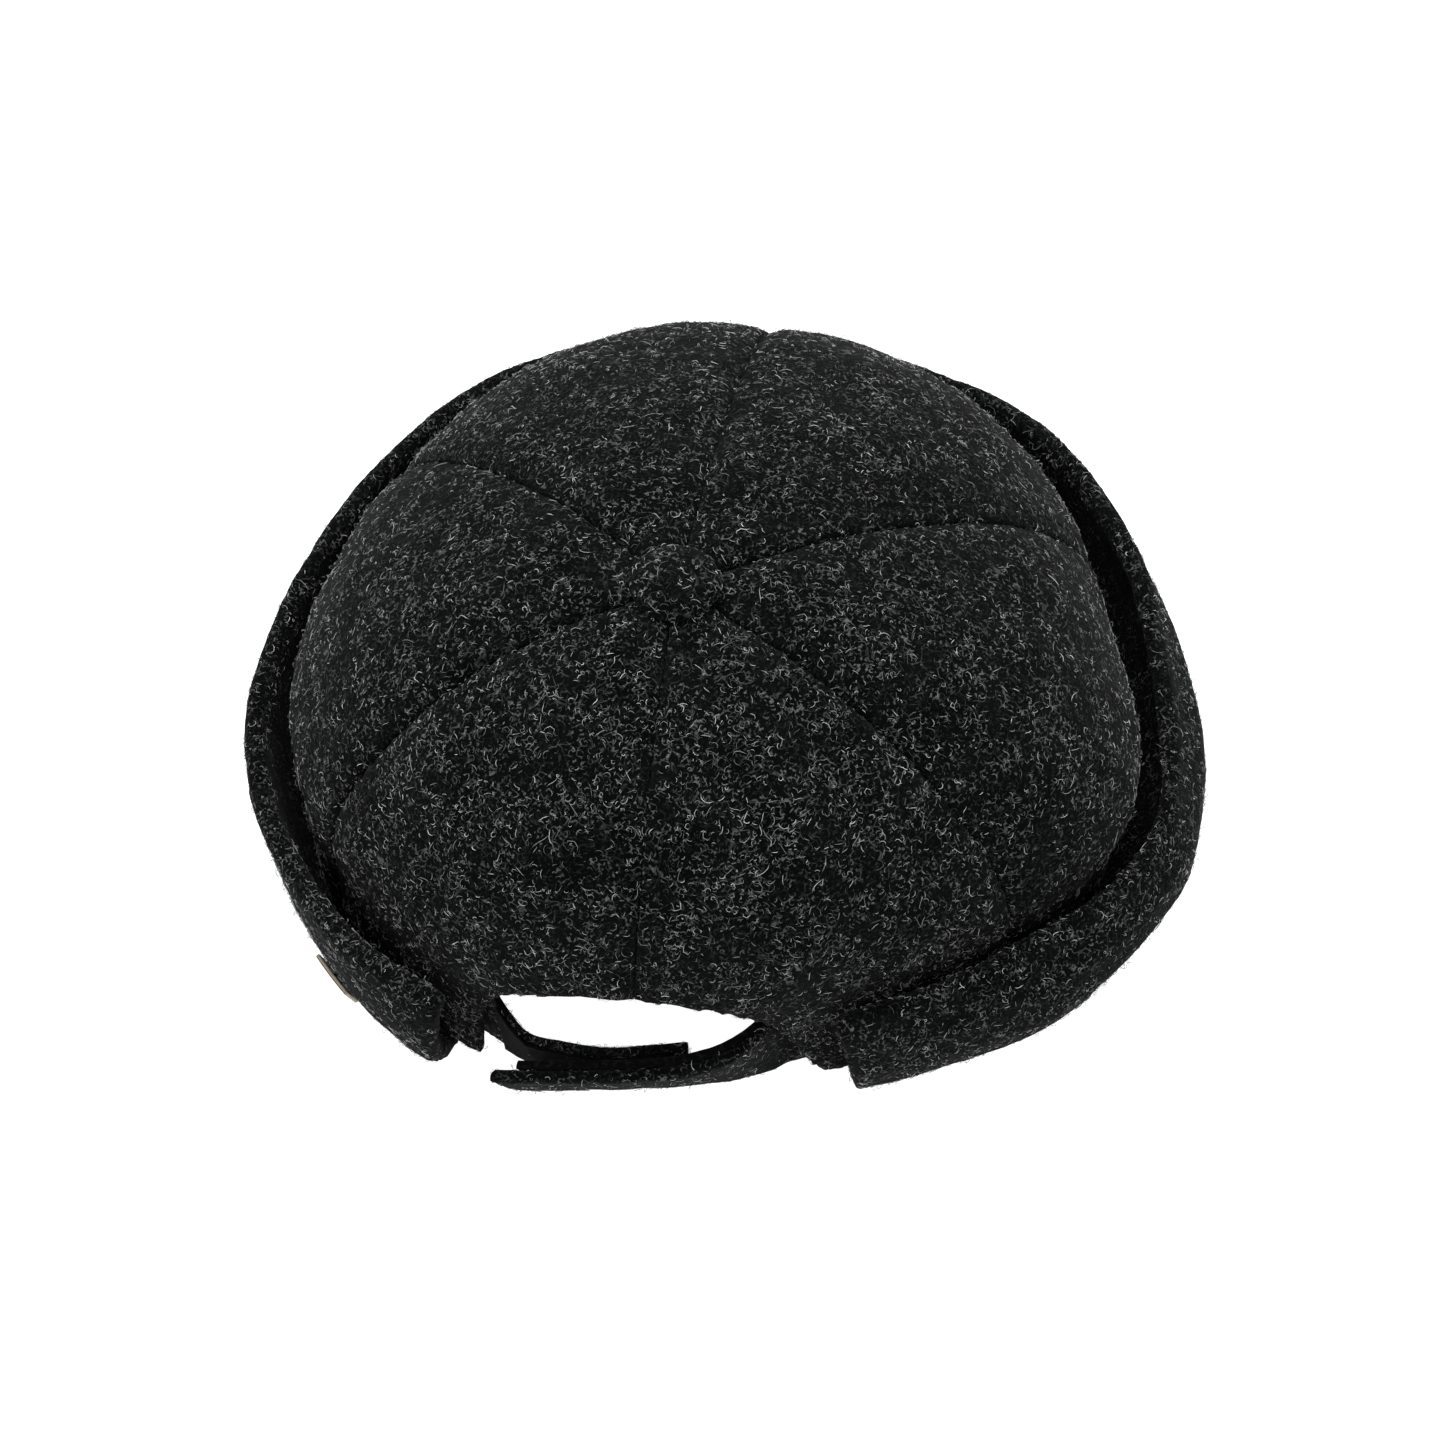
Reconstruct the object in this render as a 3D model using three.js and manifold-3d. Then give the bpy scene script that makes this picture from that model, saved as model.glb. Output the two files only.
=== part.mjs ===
// A docker cap in boiled wool: a round crown sewn from six panels, a covered button on top,
// a deep cuff turned up round the outside and left open at the back, and two short straps
// that close with hook-and-loop tape across the arch cut in the back of the crown.
// Millimetres. +Z is up, the forehead faces -Y, the arch and straps face +Y, and the wearer's
// left is +X. The cap rests on the fold of its cuff, as it does when it is taken off.
// A turn is an angle from the forehead, positive towards the wearer's left.
import * as THREE from "three";
import { mergeVertices } from "three/addons/utils/BufferGeometryUtils.js";
import Module from "manifold-3d";

const wasm = await Module();
wasm.setup();

// Cloth and clearances
const clothThickness = 2.6;
const seamGap = 0.4;
const seatGap = 0.3;

// Crown. Its plan is measured from the line where it is broadest.
const crownHeight = 97;
const crownHalfWidth = 95;
const crownFront = 113;
const crownBack = 74;
const frontCorner = 1.0;
const backCornerLeft = 1.03;
const backCornerRight = 0.9;
const backSkew = 0.15;
const topLeft = 7;
const topBack = 3;
const panelPuff = 1.6;
const seamDip = 0.9;
const seamDipShare = 0.06;
const dentDepth = 6;
// reach and drop are shares of the plan and of the height
const crownSections = [
  { reach: 0.04, drop: 0.0 },
  { reach: 0.14, drop: 0.002 },
  { reach: 0.33, drop: 0.03 },
  { reach: 0.55, drop: 0.11 },
  { reach: 0.76, drop: 0.24 },
  { reach: 0.91, drop: 0.4 },
  { reach: 0.99, drop: 0.57 },
  { reach: 0.975, drop: 0.78 },
  { reach: 0.955, drop: 1.0 },
];
const panels = [
  { name: "crown_panel_front_left", from: 0, to: 60 },
  { name: "crown_panel_left", from: 60, to: 119 },
  { name: "crown_panel_back_left", from: 119, to: 176 },
  { name: "crown_panel_back_right", from: -184, to: -129 },
  { name: "crown_panel_right", from: -129, to: -60 },
  { name: "crown_panel_front_right", from: -60, to: 0 },
];
// depth is a share of dentDepth, and a negative one swells
const crownDents = [
  { turn: 133, fall: 0.68, turnSpan: 26, fallSpan: 0.24, depth: 0.92 },
  { turn: -136, fall: 0.68, turnSpan: 26, fallSpan: 0.24, depth: 1.0 },
  { turn: -69, fall: 0.7, turnSpan: 10, fallSpan: 0.12, depth: 0.37 },
  { turn: -90, fall: 0.76, turnSpan: 12, fallSpan: 0.14, depth: -0.27 },
];

// Arch cut in the back of the crown. side and height are shares of its two sizes.
const archHalfWidth = 40;
const archHeight = 43.5;
const archEdge = [
  { side: -0.93, height: -0.05 },
  { side: -0.88, height: 0.02 },
  { side: -0.8, height: 0.13 },
  { side: -0.72, height: 0.31 },
  { side: -0.61, height: 0.56 },
  { side: -0.43, height: 0.78 },
  { side: -0.13, height: 0.93 },
  { side: 0.25, height: 0.96 },
  { side: 0.65, height: 0.9 },
  { side: 0.9, height: 0.74 },
  { side: 1.0, height: 0.5 },
  { side: 1.01, height: 0.23 },
  { side: 1.01, height: -0.05 },
];

// Button
const buttonRadius = 10;
const buttonDome = 4.6;
const buttonSkirt = 2.2;
const buttonShankRadius = 2;
const buttonShankLength = 2.4;

// Cuff, turned up from a fold and open at the back. flare, belly and rise are shares of the
// named sizes, and the ends lean by a few degrees between the fold and the rim.
const cuffHeight = 37;
const cuffThickness = 5.4;
const cuffFlare = 10;
const cuffBelly = 6;
const cuffBend = 0.75;
const cuffEnds = {
  left: { fold: 147.5, rim: 150 },
  right: { fold: -156, rim: -160 },
};
const cuffSections = [
  { turn: -161, flare: 0.28, belly: 0.29, rise: 0.93 },
  { turn: -125, flare: 0.2, belly: 1.45, rise: 1.0 },
  { turn: -105, flare: 0.28, belly: 1.5, rise: 1.0 },
  { turn: -90, flare: 0.42, belly: 1.8, rise: 1.0 },
  { turn: -75, flare: 0.56, belly: 2.0, rise: 1.0 },
  { turn: -55, flare: 0.82, belly: 1.2, rise: 1.0 },
  { turn: -35, flare: 0.9, belly: 0.38, rise: 1.02 },
  { turn: -18, flare: 0.38, belly: 0.38, rise: 1.04 },
  { turn: 0, flare: 0.08, belly: 0.38, rise: 1.05 },
  { turn: 20, flare: 0.4, belly: 0.38, rise: 1.05 },
  { turn: 40, flare: 0.63, belly: 0.38, rise: 1.05 },
  { turn: 65, flare: 0.58, belly: 0.38, rise: 1.0 },
  { turn: 100, flare: 0.55, belly: 0.33, rise: 1.0 },
  { turn: 130, flare: 0.6, belly: 0.1, rise: 1.0 },
  { turn: 153, flare: 0.5, belly: 1.0, rise: 1.0 },
];

// Straps. inset is how far a strap lies inside its seat, as a share of strapSwing, tilt leans
// its top edge outwards, and behind is 1 where it lies inside the other strap.
const strapWidth = 24;
const strapUnderThickness = 2;
const strapOverThickness = 3;
const strapSwing = 5;
const loopThickness = 0.5;
const hookThickness = 1.8;
const tapeMargin = 0.6;
const tapeGap = 0.4;
const edgeShare = 0.35;
const strapUnderRows = [
  { turn: 143, inset: 0.24, tilt: 0, behind: 0 },
  { turn: 150, inset: 0.46, tilt: 0, behind: 0 },
  { turn: 160.5, inset: -2.82, tilt: 19, behind: 1 },
  { turn: 164, inset: -2.82, tilt: 23, behind: 1 },
  { turn: 168, inset: -2.77, tilt: 26.3, behind: 1 },
  { turn: 172, inset: -2.72, tilt: 27.8, behind: 1 },
  { turn: 176, inset: -2.58, tilt: 27.8, behind: 1 },
  { turn: 182.5, inset: -2.34, tilt: 26.3, behind: 1 },
];
const strapOverRows = [
  { turn: 158, inset: -3.92, tilt: 27, behind: 0 },
  { turn: 168, inset: -3.06, tilt: 27, behind: 0 },
  { turn: 176, inset: -2.7, tilt: 27, behind: 0 },
  { turn: 182, inset: -2.48, tilt: 25.5, behind: 0 },
  { turn: 187, inset: -1.96, tilt: 20, behind: 0 },
  { turn: 190.5, inset: -1.2, tilt: 12, behind: 0 },
  { turn: 193, inset: -0.35, tilt: 3, behind: 0 },
  { turn: 195.5, inset: 0.22, tilt: 0, behind: 0 },
  { turn: 198.5, inset: 0.28, tilt: 0, behind: 0 },
  { turn: 203.5, inset: 0.24, tilt: 0, behind: 0 },
  { turn: 208, inset: 0.2, tilt: 0, behind: 0 },
  { turn: 214.5, inset: 0.16, tilt: 0, behind: 0 },
];
// Each tape covers a share of its strap's length.
const strapUnder = { rows: strapUnderRows, steps: 20, tapeFrom: 0.3, tapeTo: 0.95 };
const strapOver = { rows: strapOverRows, steps: 40, tapeFrom: 0.05, tapeTo: 0.675 };

// Patch on the outside of the cuff. low and high are shares of the cuff's height.
const patchTurn = 128;
const patchWidth = 12;
const patchThickness = 1;
const patchGap = 0.4;
const patchBand = { low: 0.08, high: 0.26 };

const degrees = Math.PI / 180;
const foldRadius = cuffThickness / 2;
const foldWall = foldRadius - seatGap / 2;
const hemHeight = foldWall + seatGap;

// Smooth value of one column of a table whose rows are in order of their turn
function valueAt(rows, turn, column) {
  const last = rows.length - 1;
  let k = 0;
  while (k < last - 1 && rows[k + 1].turn < turn) k += 1;
  const slope = (n) => {
    const before = rows[Math.max(n - 1, 0)];
    const after = rows[Math.min(n + 1, last)];
    return (after[column] - before[column]) / (after.turn - before.turn);
  };
  const run = rows[k + 1].turn - rows[k].turn;
  const t = THREE.MathUtils.clamp((turn - rows[k].turn) / run, 0, 1);
  const ease = t * t * (3 - 2 * t);
  const level = rows[k][column] * (1 - ease) + rows[k + 1][column] * ease;
  return level + run * t * (1 - t) * (slope(k) * (1 - t) - slope(k + 1) * t);
}

// Crown surface. fall goes from 0 beside the button to 1 at the hem.
const crownProfile = new THREE.SplineCurve(
  crownSections.map((row) => new THREE.Vector2(row.reach, row.drop)),
);
const top = new THREE.Vector2(topLeft, topBack);

function planPoint(turn) {
  const ahead = Math.cos(turn * degrees);
  const aside = Math.sin(turn * degrees);
  const length = ahead > 0 ? crownFront : crownBack;
  const backCorner = aside > 0 ? backCornerLeft : backCornerRight;
  const corner = ahead > 0 ? frontCorner : backCorner;
  const squared = (value) => Math.sign(value) * Math.pow(Math.abs(value), corner);
  const x = crownHalfWidth * squared(aside);
  return new THREE.Vector2(x, backSkew * x * Math.max(-ahead, 0) - length * squared(ahead));
}

function crownBase(turn, fall) {
  const row = crownProfile.getPoint(fall);
  const plan = top.clone().lerp(planPoint(turn), row.x);
  return new THREE.Vector3(plan.x, plan.y, hemHeight + (crownHeight - hemHeight) * (1 - row.y));
}

function crownNormal(turn, fall) {
  const low = Math.max(fall - 0.002, 0);
  const high = Math.min(fall + 0.002, 1);
  const around = crownBase(turn + 0.4, fall).sub(crownBase(turn - 0.4, fall));
  const down = crownBase(turn, high).sub(crownBase(turn, low));
  return down.cross(around).normalize();
}

function swell(fall) {
  return Math.sin(Math.PI * Math.min(fall * 1.15, 1));
}

function panelRelief(turn, fall) {
  const first = panels.reduce((low, row) => Math.min(low, row.from), 0);
  const around = first + ((((turn - first) % 360) + 360) % 360);
  const panel = panels.find((row) => around >= row.from && around <= row.to);
  const share = (around - panel.from) / (panel.to - panel.from);
  const edge = Math.min(share, 1 - share);
  const puff = panelPuff * 4 * share * (1 - share);
  return (puff + seamDip * (1 - Math.exp(-edge / seamDipShare))) * swell(fall);
}

function dentRelief(turn, fall) {
  let relief = 0;
  for (const dent of crownDents) {
    const across = ((((turn - dent.turn) % 360) + 540) % 360) - 180;
    const far = (across / dent.turnSpan) ** 2 + ((fall - dent.fall) / dent.fallSpan) ** 2;
    relief -= dentDepth * dent.depth * Math.exp(-far);
  }
  return relief;
}

function crownPoint(turn, fall, inward = 0) {
  const lift = panelRelief(turn, fall) + dentRelief(turn, fall) - inward;
  return crownBase(turn, fall).addScaledVector(crownNormal(turn, fall), lift);
}

// The fall at which the crown's face stands at a given height
function fallAt(height) {
  let upper = 0.4;
  let lower = 1;
  for (let k = 0; k < 16; k += 1) {
    const middle = (upper + lower) / 2;
    if (crownBase(0, middle).z > height) upper = middle;
    else lower = middle;
  }
  return (upper + lower) / 2;
}

// How far the crown stands out over its own hem at a given height
function crownOverhang(turn, height) {
  const fall = fallAt(height);
  const spread = planPoint(turn).distanceTo(top);
  const bulge = (crownProfile.getPoint(fall).x - crownProfile.getPoint(1).x) * spread;
  return Math.max(bulge + (panelPuff + seamDip) * swell(fall) + dentRelief(turn, fall), 0);
}

// A point a given way outside the hem line
function hemPoint(turn, away, height) {
  const hem = crownBase(turn, 1);
  const along = planPoint(turn + 0.5).sub(planPoint(turn - 0.5)).normalize();
  return new THREE.Vector3(hem.x + along.y * away, hem.y - along.x * away, height);
}

// A closed geometry from a list of points and a list of triangles
function closedGeometry(points, triangles) {
  const geometry = new THREE.BufferGeometry();
  const flat = points.flatMap((p) => [p.x, p.y, p.z]);
  geometry.setAttribute("position", new THREE.Float32BufferAttribute(flat, 3));
  geometry.setIndex(triangles);
  return geometry;
}

// A wall between an outer and an inner face, each a function of two shares from 0 to 1
function wall(outerAt, innerAt, columns, rows) {
  const points = [];
  const triangles = [];
  const wide = columns.length;
  const high = rows.length;
  for (const faceAt of [outerAt, innerAt])
    for (const down of rows) for (const across of columns) points.push(faceAt(across, down));
  const outer = (i, j) => j * wide + i;
  const inner = (i, j) => wide * high + outer(i, j);
  const quad = (a, b, c, d) => triangles.push(a, b, c, a, c, d);
  for (let j = 0; j < high - 1; j += 1)
    for (let i = 0; i < wide - 1; i += 1) {
      quad(outer(i, j), outer(i, j + 1), outer(i + 1, j + 1), outer(i + 1, j));
      quad(inner(i, j), inner(i + 1, j), inner(i + 1, j + 1), inner(i, j + 1));
    }
  for (let i = 0; i < wide - 1; i += 1) {
    quad(outer(i, 0), outer(i + 1, 0), inner(i + 1, 0), inner(i, 0));
    quad(outer(i + 1, high - 1), outer(i, high - 1), inner(i, high - 1), inner(i + 1, high - 1));
  }
  for (let j = 0; j < high - 1; j += 1) {
    quad(outer(0, j + 1), outer(0, j), inner(0, j), inner(0, j + 1));
    quad(outer(wide - 1, j), outer(wide - 1, j + 1), inner(wide - 1, j + 1), inner(wide - 1, j));
  }
  return closedGeometry(points, triangles);
}

// A band swept through closed loops of points, with ends closed over the outline
function band(loops, outline) {
  const triangles = [];
  const count = outline.length;
  const last = (loops.length - 1) * count;
  for (let k = 0; k < last; k += count)
    for (let n = 0; n < count; n += 1) {
      const a = k + n;
      const b = k + ((n + 1) % count);
      triangles.push(a, b, b + count, a, b + count, a + count);
    }
  for (const [a, b, c] of THREE.ShapeUtils.triangulateShape(outline, [])) {
    triangles.push(a, c, b);
    triangles.push(last + a, last + b, last + c);
  }
  return closedGeometry(loops.flat(), triangles);
}

function solidOf(geometry) {
  const bare = geometry.clone();
  bare.deleteAttribute("normal");
  bare.deleteAttribute("uv");
  const merged = mergeVertices(bare, 1e-4);
  return new wasm.Manifold(
    new wasm.Mesh({
      numProp: 3,
      vertProperties: merged.attributes.position.array,
      triVerts: new Uint32Array(merged.index.array),
    }),
  );
}

function geometryOf(solid) {
  const mesh = solid.getMesh();
  const geometry = new THREE.BufferGeometry();
  geometry.setAttribute("position", new THREE.BufferAttribute(mesh.vertProperties, 3));
  geometry.setIndex(new THREE.BufferAttribute(mesh.triVerts, 1));
  return geometry;
}

function shares(count) {
  return Array.from({ length: count + 1 }, (_, k) => k / count);
}

// Crown panels, with columns closer together beside the seams
const panelColumns = [0, 0.05, 0.12, 0.23, 0.36, 0.5, 0.64, 0.77, 0.88, 0.95, 1];

function seamMargin(turn, fall) {
  return seamGap / crownBase(turn + 1, fall).distanceTo(crownBase(turn - 1, fall));
}

function crownPanel(panel) {
  const turnAt = (across, fall) => {
    const from = panel.from + seamMargin(panel.from, fall);
    return from + (panel.to - seamMargin(panel.to, fall) - from) * across;
  };
  const face = (inward) => (across, fall) => crownPoint(turnAt(across, fall), fall, inward);
  return wall(face(0), face(clothThickness), panelColumns, shares(18));
}

function archCutter() {
  const edge = new THREE.SplineCurve(
    archEdge.map((row) => new THREE.Vector2(row.side * archHalfWidth, row.height * archHeight)),
  );
  const outline = new THREE.Shape(edge.getPoints(32));
  const block = new THREE.ExtrudeGeometry(outline, { depth: 2 * crownBack, bevelEnabled: false });
  block.rotateX(Math.PI / 2);
  block.translate(0, 2 * crownBack, 0);
  return solidOf(block);
}

// Button, seated on the highest point of the cloth under it
function buttonSeat() {
  let seat = 0;
  for (let turn = 0; turn < 360; turn += 5)
    for (let fall = 0; fall < 0.4; fall += 0.01) {
      const point = crownPoint(turn, fall);
      if (Math.hypot(point.x - topLeft, point.y - topBack) < buttonRadius) seat = Math.max(seat, point.z);
    }
  return seat + seatGap;
}

function topButton() {
  const outline = [new THREE.Vector2(0, -buttonShankLength)];
  const add = (radius, height) => outline.push(new THREE.Vector2(radius, height));
  const half = buttonSkirt / 2;
  add(buttonShankRadius, -buttonShankLength);
  add(buttonShankRadius, 0.5 * half);
  add(buttonRadius - 1.4 * half, 0.1 * half);
  for (const bend of [-50, -15, 20])
    add(buttonRadius - half + half * Math.cos(bend * degrees), half + half * Math.sin(bend * degrees));
  for (const bend of [30, 50, 70])
    add(buttonRadius * 0.96 * Math.cos(bend * degrees), half + (buttonDome - half) * Math.sin(bend * degrees));
  add(0, buttonDome);
  const button = new THREE.LatheGeometry(outline, 28);
  button.rotateX(Math.PI / 2);
  button.translate(topLeft, topBack, buttonSeat());
  return mergeVertices(button.deleteAttribute("normal").deleteAttribute("uv"), 1e-4);
}

// Cuff. Its inner face clears the crown and then flares away from it.
const cuffLevels = [0.25, 0.5, 0.75];

function cuffTop(turn) {
  return cuffHeight * valueAt(cuffSections, turn, "rise");
}

function cuffAway(turn, share) {
  const flare = cuffFlare * valueAt(cuffSections, turn, "flare") * Math.pow(share, cuffBend);
  const belly = cuffBelly * valueAt(cuffSections, turn, "belly") * Math.sin(Math.PI * share);
  return seatGap + crownOverhang(turn, cuffTop(turn) * share) + flare + belly;
}

function cuffOutline(turn) {
  const height = cuffTop(turn);
  const outline = [];
  const add = (away, up) => outline.push(new THREE.Vector2(away, up));
  const arc = (middle, up, from, to, steps) => {
    for (const share of shares(steps)) {
      const bend = (from + (to - from) * share) * degrees;
      add(middle + foldRadius * Math.cos(bend), up + foldRadius * Math.sin(bend));
    }
  };
  add(-clothThickness, 0);
  arc(seatGap + foldRadius, foldRadius, -90, 0, 3);
  for (const share of cuffLevels) add(cuffAway(turn, share) + cuffThickness, height * share);
  arc(cuffAway(turn, 1) + foldRadius, height - foldRadius, 0, 180, 4);
  for (const share of cuffLevels.toReversed()) add(cuffAway(turn, share), height * share);
  add(seatGap, foldWall);
  add(-clothThickness, foldWall);
  return outline;
}

function cuff() {
  const { left, right } = cuffEnds;
  const loops = shares(72).map((share) =>
    cuffOutline(THREE.MathUtils.lerp(left.fold, right.fold, share)).map((p) => {
      const from = THREE.MathUtils.lerp(left.fold, left.rim, p.y / cuffHeight);
      const to = THREE.MathUtils.lerp(right.fold, right.rim, p.y / cuffHeight);
      return hemPoint(THREE.MathUtils.lerp(from, to, share), p.x, p.y);
    }),
  );
  return band(loops, cuffOutline(left.fold));
}

// Straps. A strap's seat is where its outer face would touch the inside of the crown's wall.
const tapeStack = loopThickness + hookThickness + 2 * tapeGap + seatGap;
const strapLean = Math.max(...strapOverRows.map((row) => row.tilt)) * degrees;
const strapFoot = strapOverThickness * Math.sin(strapLean) + seatGap;

function strapSeat(turn) {
  const hem = crownBase(turn, 1);
  const outward = hemPoint(turn, 1, hem.z).sub(hem);
  const inside = [0.1, 0.5, 0.9].map((share) => {
    const fall = fallAt(Math.max(strapFoot + strapWidth * share, hemHeight));
    return crownPoint(turn, fall, clothThickness).sub(hem).setZ(0).dot(outward);
  });
  return Math.min(...inside) - seatGap;
}

// One layer of a strap, between two steps of its length and two depths in from its face
function strapLayer(strap, first, last, margin, outer, inner) {
  const { rows, steps } = strap;
  const edge = (inner - outer) * edgeShare;
  const low = margin;
  const high = strapWidth - margin;
  const levels = shares(4).map((share) => THREE.MathUtils.lerp(low + edge, high - edge, share));
  const outline = [
    [outer + edge, high],
    [inner - edge, high],
    ...levels.toReversed().map((up) => [inner, up]),
    [inner - edge, low],
    [outer + edge, low],
    ...levels.map((up) => [outer, up]),
  ].map(([depth, up]) => new THREE.Vector2(-depth, up));
  const loops = [];
  for (let step = last; step >= first; step -= 1) {
    const turn = THREE.MathUtils.lerp(rows[0].turn, rows[rows.length - 1].turn, step / steps);
    const tilt = valueAt(rows, turn, "tilt") * degrees;
    const behind = valueAt(rows, turn, "behind") * (strapOverThickness + tapeStack);
    const face = strapSeat(turn) - valueAt(rows, turn, "inset") * strapSwing - behind;
    const strapTop = strapFoot + strapWidth * Math.cos(tilt);
    loops.push(
      outline.map((p) => {
        const down = strapWidth - p.y;
        const away = face + p.x * Math.cos(tilt) - down * Math.sin(tilt);
        return hemPoint(turn, away, strapTop - down * Math.cos(tilt) - p.x * Math.sin(tilt));
      }),
    );
  }
  return band(loops, outline);
}

function strapCloth(strap, thickness) {
  return strapLayer(strap, 0, strap.steps, 0, 0, thickness);
}

function strapTape(strap, outer, thickness) {
  const first = Math.round(strap.tapeFrom * strap.steps);
  const last = Math.round(strap.tapeTo * strap.steps);
  return strapLayer(strap, first, last, tapeMargin, outer, outer + thickness);
}

// Patch sewn round the outside of the cuff, following the cuff's own levels
function cuffFace(turn, share) {
  const levels = [foldRadius / cuffTop(turn), ...cuffLevels];
  const aways = levels.map((level, n) => (n ? cuffAway(turn, level) : seatGap) + cuffThickness);
  let n = 0;
  while (n < levels.length - 2 && levels[n + 1] < share) n += 1;
  const t = (share - levels[n]) / (levels[n + 1] - levels[n]);
  return THREE.MathUtils.lerp(aways[n], aways[n + 1], t);
}

function sidePatch() {
  const { low, high } = patchBand;
  const inside = cuffLevels.filter((level) => level > low && level < high);
  const levels = [low, ...inside, high];
  const outline = [
    ...levels.map((level) => new THREE.Vector2(patchThickness, level)),
    ...levels.toReversed().map((level) => new THREE.Vector2(0, level)),
  ];
  const perDegree = hemPoint(patchTurn, cuffThickness, 0).distanceTo(
    hemPoint(patchTurn + 1, cuffThickness, 0),
  );
  const loops = shares(6).map((share) => {
    const turn = patchTurn + ((0.5 - share) * patchWidth) / perDegree;
    const at = (p) => hemPoint(turn, cuffFace(turn, p.y) + patchGap + p.x, p.y * cuffTop(turn));
    return outline.map(at);
  });
  return band(loops, outline);
}

const wool = new THREE.MeshStandardMaterial({ color: 0x2b2d2d, roughness: 0.95, metalness: 0 });
const tape = new THREE.MeshStandardMaterial({ color: 0x0d0d0e, roughness: 0.9, metalness: 0 });
const leather = new THREE.MeshStandardMaterial({ color: 0x3a2a22, roughness: 0.6, metalness: 0 });
const group = new THREE.Group();

function place(name, geometry, material) {
  const mesh = new THREE.Mesh(geometry, material);
  geometry.computeVertexNormals();
  mesh.name = name;
  group.add(mesh);
}

const arch = archCutter();
for (const panel of panels) {
  const whole = crownPanel(panel);
  const cut = panel.name.startsWith("crown_panel_back");
  place(panel.name, cut ? geometryOf(solidOf(whole).subtract(arch)) : whole, wool);
}
place("top_button", topButton(), wool);
place("cuff", cuff(), wool);

place("strap_under", strapCloth(strapUnder, strapUnderThickness), wool);
place("strap_over", strapCloth(strapOver, strapOverThickness), wool);
place("loop_patch", strapTape(strapUnder, -tapeGap - loopThickness, loopThickness), tape);
place("hook_patch", strapTape(strapOver, strapOverThickness + tapeGap, hookThickness), tape);
place("side_patch", sidePatch(), leather);

// The origin is at the middle of the bottom of the whole cap.
const box = new THREE.Box3().setFromObject(group);
const middle = box.getCenter(new THREE.Vector3());
for (const mesh of group.children) mesh.geometry.translate(-middle.x, -middle.y, -box.min.z);

export default group;
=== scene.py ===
"""Docker cap of felted wool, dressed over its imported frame. Metres, +Z up, the back at +Y."""

import math

import bpy
import numpy as np
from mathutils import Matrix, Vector, noise
from mathutils.bvhtree import BVHTree


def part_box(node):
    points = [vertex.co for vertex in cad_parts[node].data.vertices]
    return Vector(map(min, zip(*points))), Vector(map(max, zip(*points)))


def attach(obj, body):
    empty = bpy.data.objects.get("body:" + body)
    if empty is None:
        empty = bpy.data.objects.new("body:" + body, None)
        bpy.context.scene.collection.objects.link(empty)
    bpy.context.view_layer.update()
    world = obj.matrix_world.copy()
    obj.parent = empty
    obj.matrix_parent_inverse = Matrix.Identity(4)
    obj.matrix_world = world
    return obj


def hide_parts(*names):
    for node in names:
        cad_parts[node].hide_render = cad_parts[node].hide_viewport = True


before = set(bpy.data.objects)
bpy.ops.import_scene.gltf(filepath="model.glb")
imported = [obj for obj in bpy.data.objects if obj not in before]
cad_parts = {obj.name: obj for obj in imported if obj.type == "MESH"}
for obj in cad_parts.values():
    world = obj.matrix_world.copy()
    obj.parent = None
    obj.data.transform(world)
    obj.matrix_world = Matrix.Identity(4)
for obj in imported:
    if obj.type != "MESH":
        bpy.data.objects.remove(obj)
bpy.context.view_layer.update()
MM = 0.001
CROWN_MIDDLE = np.array((0.0, 0.0, 0.02))

# ---------------------------------------------------------------- camera
VIEW_TARGET = Vector((1.35, 12.92, 40.0)) * MM
VIEW_AZIMUTH = math.radians(188)
VIEW_ELEVATION = math.radians(55)
VIEW_DISTANCE = 1.0
LENS = 111.25

camera_data = bpy.data.cameras.new("camera")
camera = bpy.data.objects.new("camera", camera_data)
bpy.context.scene.collection.objects.link(camera)
camera_data.lens = LENS
camera_data.sensor_width = 36
camera_data.clip_start = 0.01
away = Vector(
    (
        math.sin(VIEW_AZIMUTH) * math.cos(VIEW_ELEVATION),
        -math.cos(VIEW_AZIMUTH) * math.cos(VIEW_ELEVATION),
        math.sin(VIEW_ELEVATION),
    )
)
camera.location = VIEW_TARGET + away * VIEW_DISTANCE
camera.rotation_euler = away.to_track_quat("Z", "Y").to_euler()
bpy.context.scene.camera = camera


# ---------------------------------------------------------------- finishes
SPECULAR = 0.02


class Value:
    """A number that varies over a surface: the output of a shader node."""

    def __init__(self, finish, socket):
        self.finish = finish
        self.socket = socket

    def maths(self, operation, first, second=0.0, clamp=False):
        settings = {"operation": operation, "use_clamp": clamp}
        return self.finish.node("ShaderNodeMath", settings, {0: first, 1: second})

    def __add__(self, other):
        return self.maths("ADD", self, other)

    def __sub__(self, other):
        return self.maths("SUBTRACT", self, other)

    def __rsub__(self, other):
        return self.maths("SUBTRACT", other, self)

    def __mul__(self, other):
        return self.maths("MULTIPLY", self, other)

    def __abs__(self):
        return self.maths("ABSOLUTE", self)

    def rise(self, low, high):
        """0 below low, 1 above high and smooth between them."""
        settings = {"interpolation_type": "SMOOTHSTEP"}
        return self.finish.node(
            "ShaderNodeMapRange", settings, {"Value": self, "From Min": low, "From Max": high}
        )

    def clamp(self):
        return self.maths("ADD", self, 0.0, clamp=True)


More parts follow.
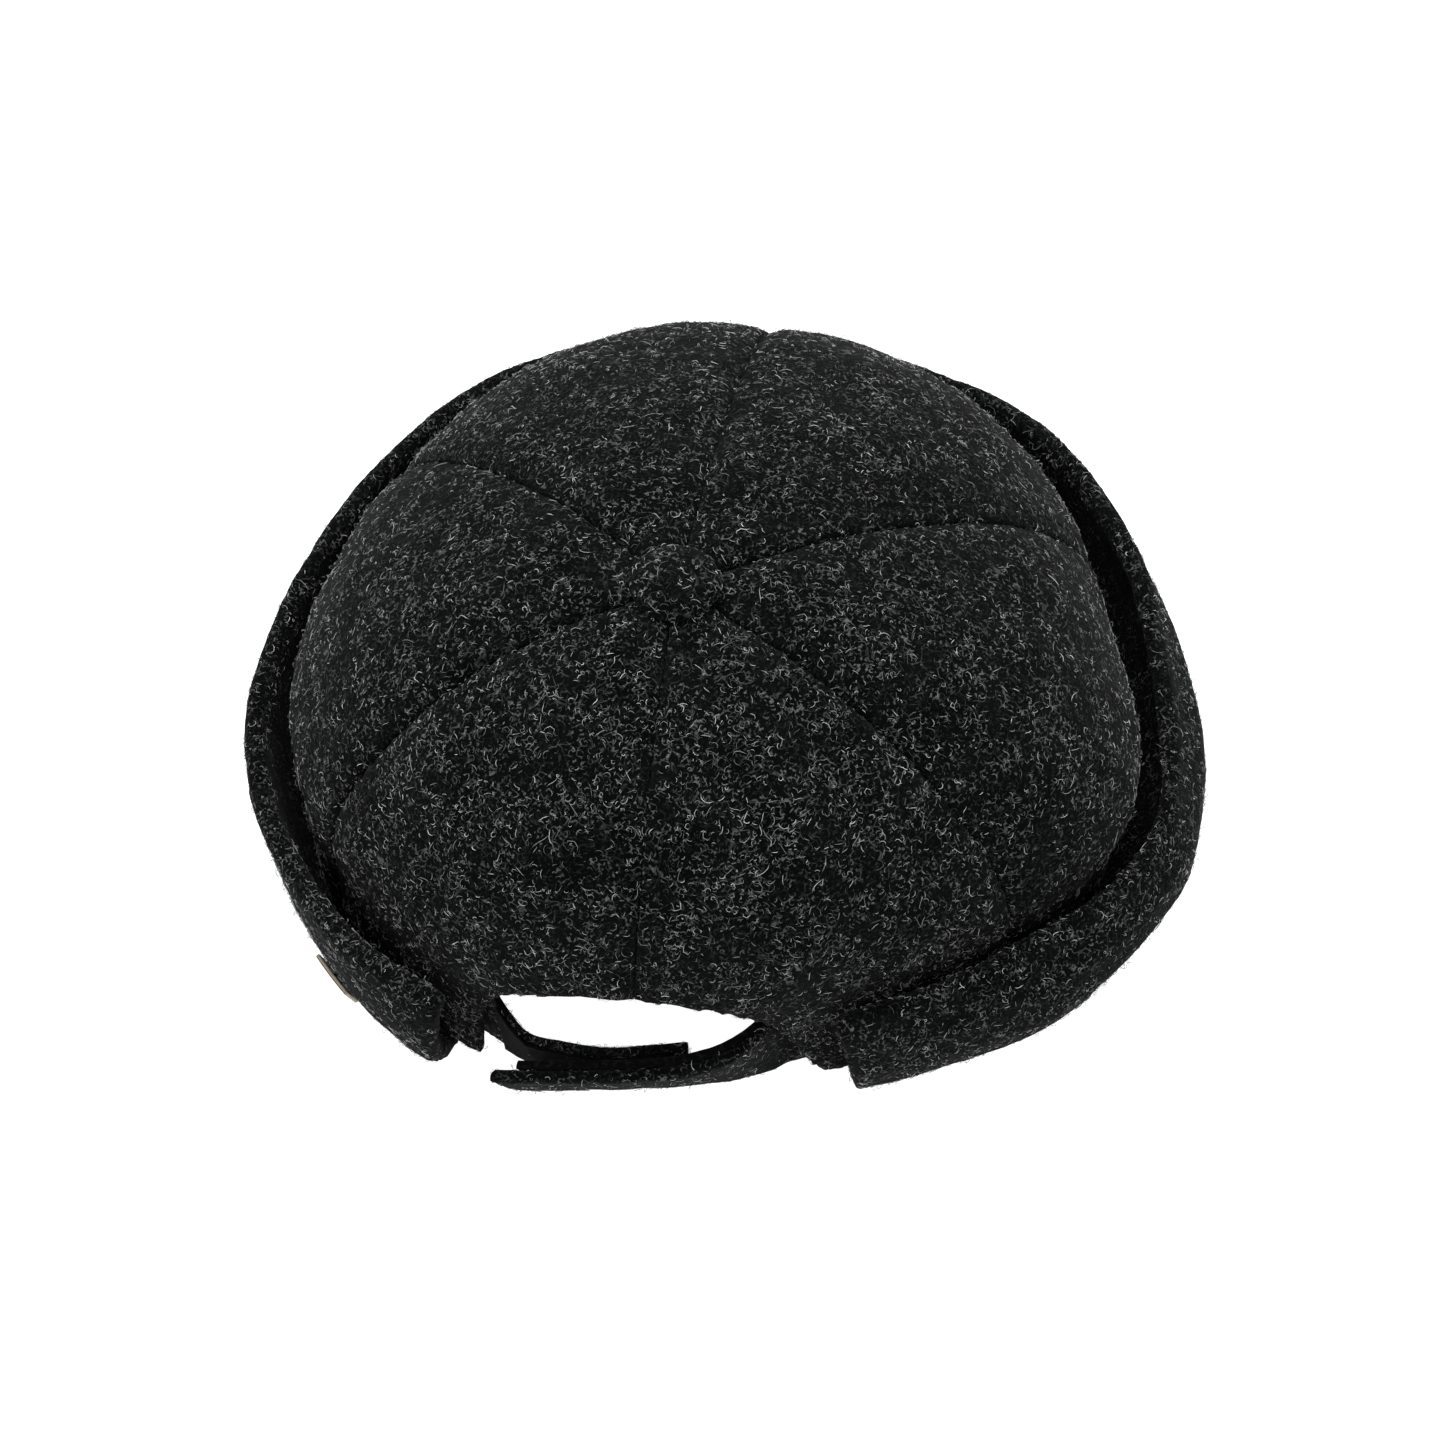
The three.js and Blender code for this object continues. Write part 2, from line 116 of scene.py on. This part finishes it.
class Finish:
    """One material, made of nodes on the object's own coordinates."""

    def __init__(self, name, roughness, sheen=0.0):
        self.material = bpy.data.materials.new(name)
        self.material.use_nodes = True
        self.nodes = self.material.node_tree.nodes
        self.links = self.material.node_tree.links
        self.shader = self.nodes["Principled BSDF"]
        self.shader.inputs["Roughness"].default_value = roughness
        self.shader.inputs["Sheen Weight"].default_value = sheen
        self.shader.inputs["Sheen Roughness"].default_value = 0.5
        self.shader.inputs["Specular IOR Level"].default_value = SPECULAR
        self.place = self.node("ShaderNodeTexCoord", {}, {}, "Object")

    def node(self, kind, settings, inputs, output=0):
        node = self.nodes.new(kind)
        for name, setting in settings.items():
            setattr(node, name, setting)
        for name, value in inputs.items():
            self.feed(node.inputs[name], value)
        return Value(self, node.outputs[output])

    def feed(self, socket, value):
        if isinstance(value, Value):
            self.links.new(value.socket, socket)
        else:
            socket.default_value = value

    def noise(self, scale, detail=2.0, place=None, output="Fac", roughness=0.5):
        inputs = {
            "Vector": place or self.place,
            "Scale": scale,
            "Detail": detail,
            "Roughness": roughness,
        }
        return self.node("ShaderNodeTexNoise", {}, inputs, output)

    def vector(self, operation, *values):
        settings = {"operation": operation}
        return self.node("ShaderNodeVectorMath", settings, dict(enumerate(values)))

    def shifted(self, place, by):
        return self.vector("ADD", place, by)

    def warped(self, place, scale, reach):
        """place pushed about by a noise of that scale, by about half of reach either way."""
        push = self.noise(scale, 1.0, place, "Color")
        return self.vector("MULTIPLY_ADD", push, (reach, reach, reach), place)

    def mix(self, share, first, second):
        settings = {"data_type": "RGBA"}
        # The Mix node's colour sockets are its seventh and eighth inputs and third output
        return self.node("ShaderNodeMix", settings, {0: share, 6: first, 7: second}, 2)

    def attribute(self, name):
        return self.node("ShaderNodeAttribute", {"attribute_name": name}, {}, "Fac")

    def colour(self, value):
        self.feed(self.shader.inputs["Base Color"], value)

    def relief(self, height, distance):
        inputs = {"Strength": 1.0, "Distance": distance, "Height": height}
        self.feed(self.shader.inputs["Normal"], self.node("ShaderNodeBump", {}, inputs))


COOL = (0.86, 1.0, 0.99)
PALE = (0.96, 1.0, 0.97)
# How light the cloth's ground, its flecks and its strands are, from dark to light
GROUND = (0.0009, 0.0024)
FLECK = 0.010
FLAT_STRAND = (0.02, 0.15)
LOOSE_STRAND = (0.012, 0.85)
THREAD_TONE = (0.004, 0.016)


def grey(value, tint=(1.0, 1.0, 1.0)):
    return (value * tint[0], value * tint[1], value * tint[2], 1.0)


def curls(finish, scale, width, shift):
    """Thin curled lines: where a noise passes through its middle, broken by a second one."""
    place = finish.shifted(finish.place, shift)
    curled = finish.warped(place, scale * 0.9, 1.1 / scale)
    level = abs(finish.noise(scale, 0.6, curled) - 0.5)
    line = 1 - level.rise(width * 0.35, width)
    gaps = finish.noise(scale * 1.7, 0.0, place).rise(0.5, 0.6)
    return line * gaps


def hairs(finish, scale, width, shift):
    """Straighter crossing lines: the borders of cells, broken by a noise."""
    place = finish.shifted(finish.place, shift)
    curled = finish.warped(place, scale * 0.8, 0.9 / scale)
    settings = {"feature": "DISTANCE_TO_EDGE"}
    edge = finish.node("ShaderNodeTexVoronoi", settings, {"Vector": curled, "Scale": scale})
    line = 1 - edge.rise(width * 0.3, width)
    gaps = finish.noise(scale * 1.3, 0.0, place).rise(0.47, 0.58)
    return line * gaps


def wool_cloth():
    finish = Finish("felted_wool", 0.95, sheen=0.02)
    clouds = finish.noise(75, 2.0).rise(0.3, 0.7)
    flecks = finish.noise(1100, 2.0, roughness=0.7)
    ground = finish.mix(clouds, grey(GROUND[0], COOL), grey(GROUND[1], COOL))
    ground = finish.mix(flecks.rise(0.5, 0.8), ground, grey(FLECK, COOL))
    fine = curls(finish, 700, 0.06, (0.013, 0.002, 0.007))
    long = hairs(finish, 420, 0.055, (0.003, 0.041, 0.011))
    tone = finish.noise(240, 1.0).rise(0.35, 0.7)
    strands = finish.mix(tone, grey(FLAT_STRAND[0], COOL), grey(FLAT_STRAND[1], PALE))
    share = (fine * 0.6 + long * 0.4).clamp()
    finish.colour(finish.mix(share, ground, strands))
    finish.relief(share * 0.7 + flecks * 1.4, 0.4 * MM)
    return finish.material


def wool_strands():
    finish = Finish("wool_strands", 0.85)
    dark, light = grey(LOOSE_STRAND[0], COOL), grey(LOOSE_STRAND[1], PALE)
    finish.colour(finish.mix(finish.attribute("tone"), dark, light))
    return finish.material


def tape_finish(name, scale, dark, light):
    finish = Finish(name, 0.9, sheen=0.02)
    fuzz = finish.noise(scale, 3.0, finish.warped(finish.place, scale, 0.6 / scale))
    finish.colour(finish.mix(fuzz.rise(0.45, 0.75), grey(dark), grey(light)))
    finish.relief(fuzz, 0.4 * MM)
    return finish.material


def thread_finish():
    finish = Finish("thread", 0.7)
    twist = finish.noise(2600, 1.0)
    dark, light = grey(THREAD_TONE[0], COOL), grey(THREAD_TONE[1], COOL)
    finish.colour(finish.mix(twist.rise(0.35, 0.65), dark, light))
    finish.relief(twist, 0.1 * MM)
    return finish.material


def leather_finish():
    finish = Finish("leather", 0.55)
    grain = finish.noise(700, 3.0)
    clouds = finish.noise(160, 2.0)
    face = finish.mix(clouds.rise(0.3, 0.7), (0.02, 0.011, 0.008, 1), (0.05, 0.028, 0.018, 1))
    edge = finish.mix(grain, (0.42, 0.36, 0.27, 1), (0.62, 0.55, 0.43, 1))
    finish.colour(finish.mix(finish.attribute("edge").rise(0.3, 0.7), face, edge))
    finish.relief(grain, 0.12 * MM)
    return finish.material


WOOL = wool_cloth()
STRANDS = wool_strands()
LOOP = tape_finish("loop_tape", 1500, 0.0015, 0.007)
HOOK = tape_finish("hook_tape", 900, 0.0015, 0.008)
LEATHER = leather_finish()
THREAD = thread_finish()


# ---------------------------------------------------------------- cloth pieces
def only(piece):
    bpy.ops.object.select_all(action="DESELECT")
    piece.select_set(True)
    bpy.context.view_layer.objects.active = piece


def modifier(piece, kind, **settings):
    """Adds a modifier, applies it, and leaves the mesh changed."""
    only(piece)
    added = piece.modifiers.new(kind.lower(), kind)
    for name, setting in settings.items():
        setattr(added, name, setting)
    bpy.ops.object.modifier_apply(modifier=added.name)


def fine_copy(node, voxel, rounds):
    """The node's solid as one fine mesh, in an object of its own.

    With a voxel size it is remeshed and then rounded, else its own faces are divided.
    """
    piece = bpy.data.objects.new(node + "_cloth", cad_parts[node].data.copy())
    bpy.context.scene.collection.objects.link(piece)
    piece.data.materials.clear()
    only(piece)
    bpy.ops.object.mode_set(mode="EDIT")
    bpy.ops.mesh.select_all(action="SELECT")
    bpy.ops.mesh.remove_doubles(threshold=1e-6)
    bpy.ops.object.mode_set(mode="OBJECT")
    if voxel:
        modifier(piece, "REMESH", mode="VOXEL", voxel_size=voxel, adaptivity=0.0)
        modifier(piece, "SMOOTH", factor=0.5, iterations=rounds)
    else:
        simple = {"subdivision_type": "SIMPLE", "levels": rounds, "render_levels": rounds}
        modifier(piece, "SUBSURF", **simple)
    piece.data.shade_smooth()
    return piece


def points_of(mesh):
    flat = np.zeros(len(mesh.vertices) * 3)
    mesh.vertices.foreach_get("co", flat)
    return flat.reshape(-1, 3)


def normals_of(mesh):
    flat = np.zeros(len(mesh.vertices) * 3)
    mesh.vertices.foreach_get("normal", flat)
    return flat.reshape(-1, 3)


def put_points(mesh, points):
    mesh.vertices.foreach_set("co", points.ravel())
    mesh.update()


def keep(mesh, name, values):
    mesh.attributes.new(name, "FLOAT", "POINT").data.foreach_set("value", values)


def field(points, size, shift=0.0):
    """Smooth noise from -1 to 1 at each point, with lumps of about that size."""
    scaled = points / size + shift
    return np.array([noise.noise(Vector(p)) for p in scaled.tolist()])


def unit(vectors):
    return vectors / np.linalg.norm(vectors, axis=-1, keepdims=True)


def from_middle(points):
    """The way out from the crown's middle."""
    return unit(points - CROWN_MIDDLE)


def level_outward(points):
    """The level way out from the upright axis."""
    return unit(points * np.array((1.0, 1.0, 0.0)))


def surface(node):
    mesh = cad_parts[node].data
    corners = [v.co for v in mesh.vertices]
    return BVHTree.FromPolygons(corners, [tuple(p.vertices) for p in mesh.polygons])


def nearest_on(trees, points, reach):
    """How far each point is from the nearest of those surfaces, up to reach, and the way there."""
    far = []
    ways = []
    for point in points.tolist():
        hits = [tree.find_nearest(point, reach) for tree in trees]
        known = [(hit[3], hit[0]) for hit in hits if hit[0] is not None]
        distance, place = min(known, key=lambda hit: hit[0]) if known else (reach, point)
        far.append(distance)
        ways.append([place[axis] - point[axis] for axis in range(3)])
    return np.array(far), np.array(ways)


# ---------------------------------------------------------------- crown
PANELS = [
    "crown_panel_front_left",
    "crown_panel_left",
    "crown_panel_back_left",
    "crown_panel_back_right",
    "crown_panel_right",
    "crown_panel_front_right",
]
# Each panel has the row of stitches of its seam with the panel named here
STITCHED_TO = {
    "crown_panel_back_right": "crown_panel_back_left",
    "crown_panel_back_left": "crown_panel_left",
    "crown_panel_left": "crown_panel_front_left",
    "crown_panel_front_left": "crown_panel_front_right",
    "crown_panel_front_right": "crown_panel_right",
    "crown_panel_right": "crown_panel_back_right",
}
STITCH_OFFSET = 4.6 * MM
STITCH_HALF = 0.8 * MM
STITCH_PITCH = 3.8 * MM
STITCH_FILL = 0.72
GROOVE_DEPTH = 0.38 * MM
SEAM_REACH = 9 * MM
SEAM_MIDDLE = 0.15 * MM
VALLEY_HALF = 2.6 * MM
VALLEY_DEPTH = 0.7 * MM
PRESS_REACH = 1.7 * MM
PRESS_FADE = 0.6 * MM
GATHER_REACH = 17 * MM
FAR_FROM_SEAM = 9.0
button_low, button_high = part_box("top_button")
button_middle = (button_low + button_high) / 2
panel_surfaces = {name: surface(name) for name in PANELS}
stitch_rows = {}


def note_stitches(node, points, normals, off, outside, along):
    """Keeps the middle of the row of stitches: a place and a normal for each step of its length."""
    on_row = outside & (off < 0.7 * MM)
    step = (along / (STITCH_PITCH / 4)).astype(int)
    row = []
    for number in range(step[on_row].min(), step[on_row].max() + 1):
        here = on_row & (step == number)
        if here.any():
            row.append((number, points[here].mean(0), normals[here].mean(0)))
    stitch_rows[node] = row


EAR_PANEL = "crown_panel_back_left"
EAR_START, EAR_SPREAD = 143, 13
EAR_TIP_START, EAR_TIP_SPREAD = 151, 5
EAR_FLARE = 2.5 * MM
EAR_HEIGHT = 26 * MM
EAR_ROUNDING = 9 * MM
EAR_RISE = 0.75


def flare_ear(node, points):
    """How far the loose corner beside the arch curls outwards towards its hem."""
    if node != EAR_PANEL:
        return np.zeros_like(points)
    turn = np.degrees(np.arctan2(points[:, 0], -points[:, 1]))
    near = np.clip((turn - EAR_START) / EAR_SPREAD, 0, 1)
    low = np.clip(1 - points[:, 2] / EAR_HEIGHT, 0, 1)
    share = near * near * (3 - 2 * near) * low**1.4
    moved = level_outward(points) * (EAR_FLARE * share)[:, None]
    # Its lowest points rise, so that it doesn't end in a long point
    tip = np.clip((turn - EAR_TIP_START) / EAR_TIP_SPREAD, 0, 1)
    moved[:, 2] += EAR_RISE * tip * np.clip(EAR_ROUNDING - points[:, 2], 0, None)
    return moved


def crown_panel(node):
    piece = fine_copy(node, 1.2 * MM, 5)
    mesh = piece.data
    points = points_of(mesh)
    normals = normals_of(mesh)
    outward = from_middle(points)
    outside = (normals * outward).sum(1) > 0.1
    others = [panel_surfaces[name] for name in PANELS if name != node]
    seam, to_seam = nearest_on(others, points, SEAM_REACH)
    stitched, _ = nearest_on([panel_surfaces[STITCHED_TO[node]]], points, SEAM_REACH)
    groove = np.exp(-(((stitched - STITCH_OFFSET) / STITCH_HALF) ** 2))
    groove = np.where((stitched < SEAM_REACH * 0.99) & outside, groove, 0)
    along = np.linalg.norm(points - np.array(button_middle), axis=1)
    groove *= 0.75 + 0.25 * np.cos(math.tau * along / STITCH_PITCH)
    note_stitches(node, points, normals, np.abs(stitched - STITCH_OFFSET), outside, along)
    lumps = 0.75 * field(points, 24 * MM) + 0.35 * field(points, 9 * MM, 7.0)
    puckers = field(points, 4.5 * MM, 3.0) * np.exp(-seam / (3.5 * MM))
    flat = points[:, :2] - np.array(button_middle.xy)
    from_button = np.linalg.norm(flat, axis=1)
    gathers = field(points, 5 * MM, 11.0) * np.exp(-((from_button / GATHER_REACH) ** 2))
    nap = field(points, 2.2 * MM, 5.0)
    shift = MM * (lumps + 0.45 * puckers + 0.5 * gathers)
    valley = np.exp(-((seam / VALLEY_HALF) ** 2)) * outside
    proud = MM * (0.12 + 0.1 * nap) - GROOVE_DEPTH * groove - VALLEY_DEPTH * valley
    # The panels' edges are pressed together in their seams, where the frame leaves a gap
    close = np.clip((PRESS_REACH - seam) / PRESS_FADE, 0, 1)
    press = np.clip(seam - SEAM_MIDDLE, 0, None) * close
    pressed = to_seam / np.maximum(seam, 1e-9)[:, None] * press[:, None]
    moved = outward * shift[:, None] + normals * proud[:, None] + pressed
    put_points(mesh, points + moved + flare_ear(node, points))
    keep(mesh, "seam", np.minimum(seam, np.abs(stitched - STITCH_OFFSET) * 1.6) / MM)
    return piece


# ---------------------------------------------------------------- cuff, button, straps, tapes
def cuff_piece():
    piece = fine_copy("cuff", 1.5 * MM, 4)
    mesh = piece.data
    points = points_of(mesh)
    normals = normals_of(mesh)
    lumps = 0.6 * field(points, 22 * MM) + 0.3 * field(points, 8 * MM, 7.0)
    nap = field(points, 2.4 * MM, 5.0)
    # Nothing moves where the fold rests
    rise = np.clip(points[:, 2] / (8 * MM), 0, 1)
    shift = level_outward(points) * (MM * lumps * rise)[:, None]
    proud = normals * (MM * (0.08 + 0.1 * nap) * rise)[:, None]
    put_points(mesh, points + shift + proud)
    keep(mesh, "seam", np.full(len(points), FAR_FROM_SEAM))
    return piece


def small_cloth(node, voxel, rounds, lump):
    piece = fine_copy(node, voxel, rounds)
    mesh = piece.data
    points = points_of(mesh)
    proud = MM * (0.05 + lump * field(points, 6 * MM) + 0.08 * field(points, 2 * MM, 5.0))
    put_points(mesh, points + normals_of(mesh) * proud[:, None])
    keep(mesh, "seam", np.full(len(points), FAR_FROM_SEAM))
    return piece


def settle(piece, node, material):
    piece.data.materials.append(material)
    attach(piece, "root")
    if node:
        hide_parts(node)
    return piece


cloth = {name: settle(crown_panel(name), name, WOOL) for name in PANELS}
cloth["cuff"] = settle(cuff_piece(), "cuff", WOOL)
button = small_cloth("top_button", 0.6 * MM, 4, 0.25)
cloth["top_button"] = settle(button, "top_button", WOOL)
for strap in ("strap_under", "strap_over"):
    cloth[strap] = settle(small_cloth(strap, 0.8 * MM, 3, 0.25), strap, WOOL)
settle(small_cloth("loop_patch", None, 2, 0.05), "loop_patch", LOOP)
settle(small_cloth("hook_patch", None, 2, 0.05), "hook_patch", HOOK)


# ---------------------------------------------------------------- rows of stitches
THREAD_RADIUS = 0.2 * MM
THREAD_SIDES = 5
THREAD_POINTS = 6
THREAD_ARCH = 0.34
THREAD_DEPTH = 0.42


def tube(path, radius, sides):
    """A closed thread along a path of places and ups: rings, and a point at each end."""
    points = [place for place, _ in path]
    corners = [points[0]]
    for number in range(1, len(path) - 1):
        heading = points[number + 1] - points[number - 1]
        side = np.cross(heading, path[number][1])
        side /= np.linalg.norm(side)
        over = np.cross(side, heading)
        over /= np.linalg.norm(over)
        for turn in np.arange(sides) * math.tau / sides:
            spoke = side * math.cos(turn) + over * math.sin(turn)
            corners.append(points[number] + radius * spoke)
    corners.append(points[-1])
    last = len(corners) - 1
    faces = []
    for s in range(sides):
        t = (s + 1) % sides
        faces.append((0, 1 + t, 1 + s))
        faces.append((last - sides + s, last - sides + t, last))
        for r in range(1, last - sides, sides):
            faces.append((r + s, r + t, r + sides + t, r + sides + s))
    return corners, faces


def topstitching():
    """Threads in the groove beside each seam, each dipping into the cloth at its ends."""
    corners, faces = [], []
    for node in PANELS:
        row = {number: (place, up) for number, place, up in stitch_rows[node]}
        for first in range(min(row), max(row) - 4, 4):
            if not all(first + k in row for k in range(5)):
                continue
            start, up = row[first]
            end = start + (row[first + 4][0] - start) * STITCH_FILL
            middle_up = row[first + 2][1] / np.linalg.norm(row[first + 2][1])
            path = []
            for share in np.linspace(0, 1, THREAD_POINTS):
                rise = (THREAD_ARCH * math.sin(share * math.pi) ** 0.6 - THREAD_DEPTH) * MM
                path.append((start + (end - start) * share + middle_up * rise, middle_up))
            thread, sides = tube(path, THREAD_RADIUS, THREAD_SIDES)
            faces += [tuple(len(corners) + c for c in face) for face in sides]
            corners += thread
    mesh = bpy.data.meshes.new("topstitching")
    mesh.from_pydata([tuple(c) for c in corners], [], faces)
    mesh.shade_smooth()
    threads = bpy.data.objects.new("topstitching", mesh)
    bpy.context.scene.collection.objects.link(threads)
    settle(threads, None, THREAD)


topstitching()


# ---------------------------------------------------------------- leather patch
def side_patch():
    """The patch, with its cut edges noted for the finish."""
    piece = fine_copy("side_patch", 0.35 * MM, 2)
    mesh = piece.data
    points = points_of(mesh)
    facing = (normals_of(mesh) * level_outward(points.mean(0))).sum(1)
    keep(mesh, "edge", np.clip((0.75 - facing) * 2.5, 0, 1))
    return piece


settle(side_patch(), "side_patch", LEATHER)

# ---------------------------------------------------------------- loose strands of the nap
RINGS = 5
SIDES = 3
CLEAR_OF_SEAM = 1.8
STRAND_LENGTH = (0.6, 5.5)
STRAND_RADIUS = (0.038, 0.07)
LYING_LIFT = (0.08, 0.35)
PROUD_LIFT = (0.5, 1.2)
PROUD_SHARE = 0.1
TRIES = 1.7
CROWN_COUNT = 3600
CUFF_COUNT = 4400
BUTTON_COUNT = 320
STRAP_COUNT = 650


def strand_paths(draw, count):
    """Curled paths in a flat local frame: count x RINGS points, as long as 1."""
    along = np.linspace(0, 1, RINGS)
    bend = draw.normal(0, 3.2, (count, 1))
    twist = draw.normal(0, 2.4, (count, 1))
    heading = bend * along + twist * along**2
    step = 1 / (RINGS - 1)
    x = np.concatenate([np.zeros((count, 1)), np.cumsum(np.cos(heading[:, :-1]), 1) * step], 1)
    y = np.concatenate([np.zeros((count, 1)), np.cumsum(np.sin(heading[:, :-1]), 1) * step], 1)
    return np.stack([x - 0.4, y, np.sin(along * math.pi)[None] * np.ones((count, 1))], 2)


def nap(name, pieces, per_piece, draw, outer):
    """Loose strands lying on the outer faces of the pieces, as one mesh."""
    starts, normals = [], []
    for piece in pieces:
        mesh = piece.data
        mesh.calc_loop_triangles()
        corners = np.zeros(len(mesh.loop_triangles) * 3, np.int64)
        mesh.loop_triangles.foreach_get("vertices", corners)
        corners = corners.reshape(-1, 3)
        points = points_of(mesh)
        vertex_normals = normals_of(mesh)
        a, b, c = points[corners[:, 0]], points[corners[:, 1]], points[corners[:, 2]]
        cross = np.cross(b - a, c - a)
        area = np.linalg.norm(cross, axis=1)
        facing = outer(a, cross / np.maximum(area, 1e-15)[:, None])
        seam = np.zeros(len(points))
        mesh.attributes["seam"].data.foreach_get("value", seam)
        clear = np.clip(seam[corners[:, 0]] / CLEAR_OF_SEAM, 0.1, 1)
        weight = np.where(facing, area, 0) * clear
        tries = int(per_piece * TRIES)
        chosen = draw.choice(len(corners), tries, p=weight / weight.sum())
        # Strands gather in clumps: the tries in the thickest of a noise are kept
        clump = field(a[chosen], 8 * MM, 2.0) + 0.8 * field(a[chosen], 3 * MM, 6.0)
        chosen = chosen[np.argsort(-clump + draw.normal(0, 0.35, tries))[:per_piece]]
        share = draw.random((per_piece, 2))
        share = np.where(share.sum(1, keepdims=True) > 1, 1 - share, share)
        u, v = share[:, :1], share[:, 1:]
        starts.append(a[chosen] * (1 - u - v) + b[chosen] * u + c[chosen] * v)
        at = vertex_normals[corners[chosen]]
        normals.append(at[:, 0] * (1 - u - v) + at[:, 1] * u + at[:, 2] * v)
    starts = np.concatenate(starts)
    up = unit(np.concatenate(normals))
    count = len(starts)
    spin = draw.normal(size=(count, 3))
    right = unit(np.cross(spin, up))
    front = np.cross(up, right)
    length = MM * np.clip(draw.lognormal(0.42, 0.42, count), *STRAND_LENGTH)
    proud = draw.random(count) < PROUD_SHARE
    high_lift = draw.uniform(*PROUD_LIFT, count)
    lift = MM * np.where(proud, high_lift, draw.uniform(*LYING_LIFT, count))
    radius = MM * draw.uniform(*STRAND_RADIUS, count)
    path = strand_paths(draw, count)
    flat = path[:, :, :2] * length[:, None, None]
    high = path[:, :, 2] * lift[:, None] + 0.02 * MM
    frame_axes = np.stack([right, front, up], 1)
    local = np.concatenate([flat, high[:, :, None]], 2)
    middle = starts[:, None, :] + np.einsum("nrk,nkj->nrj", local, frame_axes)
    heading = unit(np.gradient(middle, axis=1))
    side = unit(np.cross(heading, up[:, None, :]))
    over = np.cross(side, heading)
    turn = np.arange(SIDES) * math.tau / SIDES
    ring = (
        side[:, 1:-1, None, :] * np.cos(turn)[None, None, :, None]
        + over[:, 1:-1, None, :] * np.sin(turn)[None, None, :, None]
    )
    rings = (middle[:, 1:-1, None, :] + ring * radius[:, None, None, None]).reshape(count, -1, 3)
    corners = np.concatenate([middle[:, :1], rings, middle[:, -1:]], 1)
    each = corners.shape[1]
    base = (np.arange(count) * each)[:, None]
    faces = []
    for s in range(SIDES):
        t = (s + 1) % SIDES
        last = each - 1 - SIDES
        faces.append((0, 1 + t, 1 + s))
        faces.append((last + s, last + t, each - 1))
        for r in range(1, 1 + SIDES * (RINGS - 3), SIDES):
            faces.append((r + s, r + t, r + SIDES + t, r + SIDES + s))
    faces = [row for face in faces for row in (np.array(face)[None] + base).tolist()]
    corners = corners.reshape(-1, 3)
    mesh = bpy.data.meshes.new(name)
    mesh.from_pydata(corners.tolist(), [], faces)
    mesh.shade_smooth()
    tone = np.clip(draw.beta(0.9, 2.5, count), 0, 1)
    keep(mesh, "tone", np.repeat(tone, each))
    strands = bpy.data.objects.new(name, mesh)
    bpy.context.scene.collection.objects.link(strands)
    settle(strands, None, STRANDS)


def crown_outside(points, normals):
    return (normals * from_middle(points)).sum(1) > -0.1


def cuff_outside(points, normals):
    facing = (normals * level_outward(points)).sum(1)
    return (facing > 0.1) | ((normals[:, 2] > 0.2) & (points[:, 2] > 30 * MM))


def anywhere(points, normals):
    return points[:, 2] > 1.5 * MM


draw = np.random.default_rng(41)
for name in PANELS:
    nap(name.replace("panel", "strands"), [cloth[name]], CROWN_COUNT, draw, crown_outside)
for half in range(2):
    nap(f"cuff_strands_{half + 1}", [cloth["cuff"]], CUFF_COUNT, draw, cuff_outside)
nap("button_strands", [cloth["top_button"]], BUTTON_COUNT, draw, anywhere)
straps = [cloth["strap_under"], cloth["strap_over"]]
nap("strap_strands", straps, STRAP_COUNT, draw, anywhere)

# ---------------------------------------------------------------- floor and light
bpy.ops.object.select_all(action="DESELECT")
bpy.ops.mesh.primitive_plane_add(size=8.0, location=(0, 0, -0.2 * MM))
floor = bpy.context.active_object
floor.name = "floor"
paper = Finish("white_paper", 0.9)
paper.shader.inputs["Base Color"].default_value = grey(0.35)
paper.shader.inputs["Emission Color"].default_value = grey(1.0)
paper.shader.inputs["Emission Strength"].default_value = 1.0
floor.data.materials.append(paper.material)

world = bpy.data.worlds.new("studio")
bpy.context.scene.world = world
world.use_nodes = True
world.node_tree.nodes["Background"].inputs["Color"].default_value = grey(1.0)
world.node_tree.nodes["Background"].inputs["Strength"].default_value = 0.58


def soft_light(name, place, size, power):
    data = bpy.data.lights.new(name, "AREA")
    data.shape = "DISK"
    data.size = size
    data.energy = power
    light = bpy.data.objects.new(name, data)
    bpy.context.scene.collection.objects.link(light)
    light.location = place
    light.rotation_euler = (Vector(place) - VIEW_TARGET).to_track_quat("Z", "Y").to_euler()


soft_light("overhead", (0.25, -0.75, 1.4), 1.1, 27)
soft_light("left", (1.2, 0.5, 0.9), 0.8, 8)
soft_light("right", (-1.2, 0.5, 0.9), 0.8, 8)
bpy.context.scene.view_settings.view_transform = "Standard"

bpy.context.view_layer.update()
